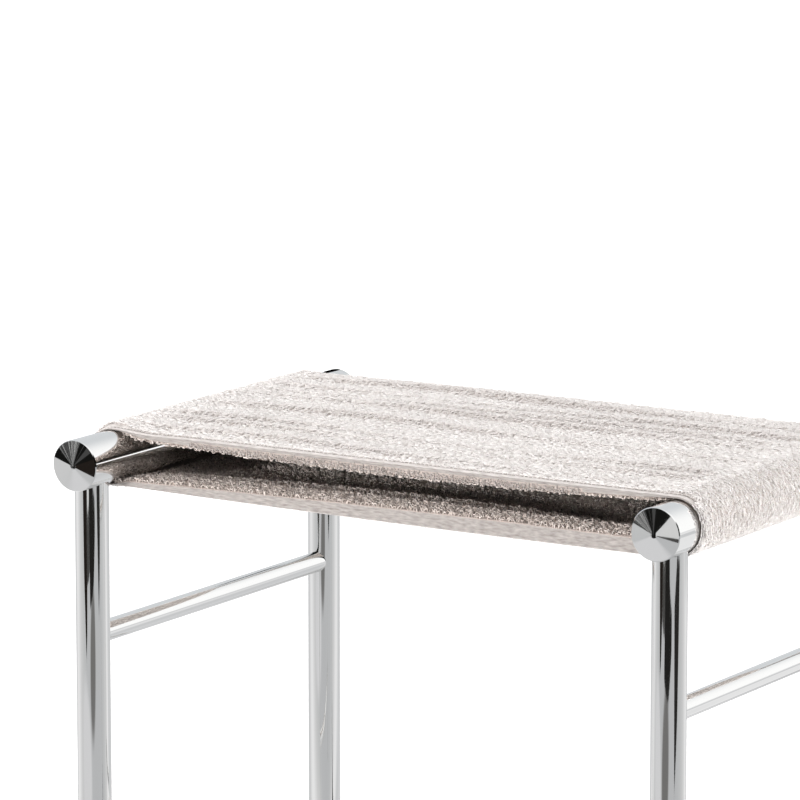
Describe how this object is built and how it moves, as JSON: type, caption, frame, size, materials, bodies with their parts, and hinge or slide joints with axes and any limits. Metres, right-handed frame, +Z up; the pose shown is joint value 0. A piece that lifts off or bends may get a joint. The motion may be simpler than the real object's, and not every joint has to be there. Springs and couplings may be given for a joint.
{
  "type": "bathroom stool",
  "caption": "Low backless stool with a seat sling of terry towelling stretched in a loop round two thick rails, on slim round legs of chromed tube with side stretchers.",
  "frame": {"origin": "on the floor under the middle of the seat", "axes": "+X along the long side, towards the right rail; +Y towards the rear; +Z up"},
  "size_m": [0.5296, 0.365, 0.45],
  "materials": {
    "chromed_steel_tube": "polished bright chrome plate",
    "bare_steel": "turned, left bare inside the tubes",
    "zinc_plated_steel": "bright zinc plate",
    "glide_plastic": "moulded, fine matt",
    "terry_towelling": "uncut cotton loops on both faces"
  },
  "bodies": {
    "root": {"rail_left": "chromed_steel_tube", "rail_right": "chromed_steel_tube", "side_stretcher_left": "chromed_steel_tube", "side_stretcher_right": "chromed_steel_tube", "long_stretcher_front": "chromed_steel_tube", "long_stretcher_rear": "chromed_steel_tube", "rail_cap_front_left": "chromed_steel_tube", "rail_cap_front_right": "chromed_steel_tube", "rail_cap_rear_left": "chromed_steel_tube", "rail_cap_rear_right": "chromed_steel_tube", "leg_front_left": "chromed_steel_tube", "leg_front_right": "chromed_steel_tube", "leg_rear_left": "chromed_steel_tube", "leg_rear_right": "chromed_steel_tube", "rail_boss_front_left": "bare_steel", "rail_boss_front_right": "bare_steel", "rail_boss_rear_left": "bare_steel", "rail_boss_rear_right": "bare_steel", "leg_plug_front_left": "bare_steel", "leg_plug_front_right": "bare_steel", "leg_plug_rear_left": "bare_steel", "leg_plug_rear_right": "bare_steel", "rail_screws": "zinc_plated_steel", "screw_washers": "zinc_plated_steel", "foot_glide_front_left": "glide_plastic", "foot_glide_front_right": "glide_plastic", "foot_glide_rear_left": "glide_plastic", "foot_glide_rear_right": "glide_plastic", "towel_sling": "terry_towelling"}
  },
  "joints": []
}
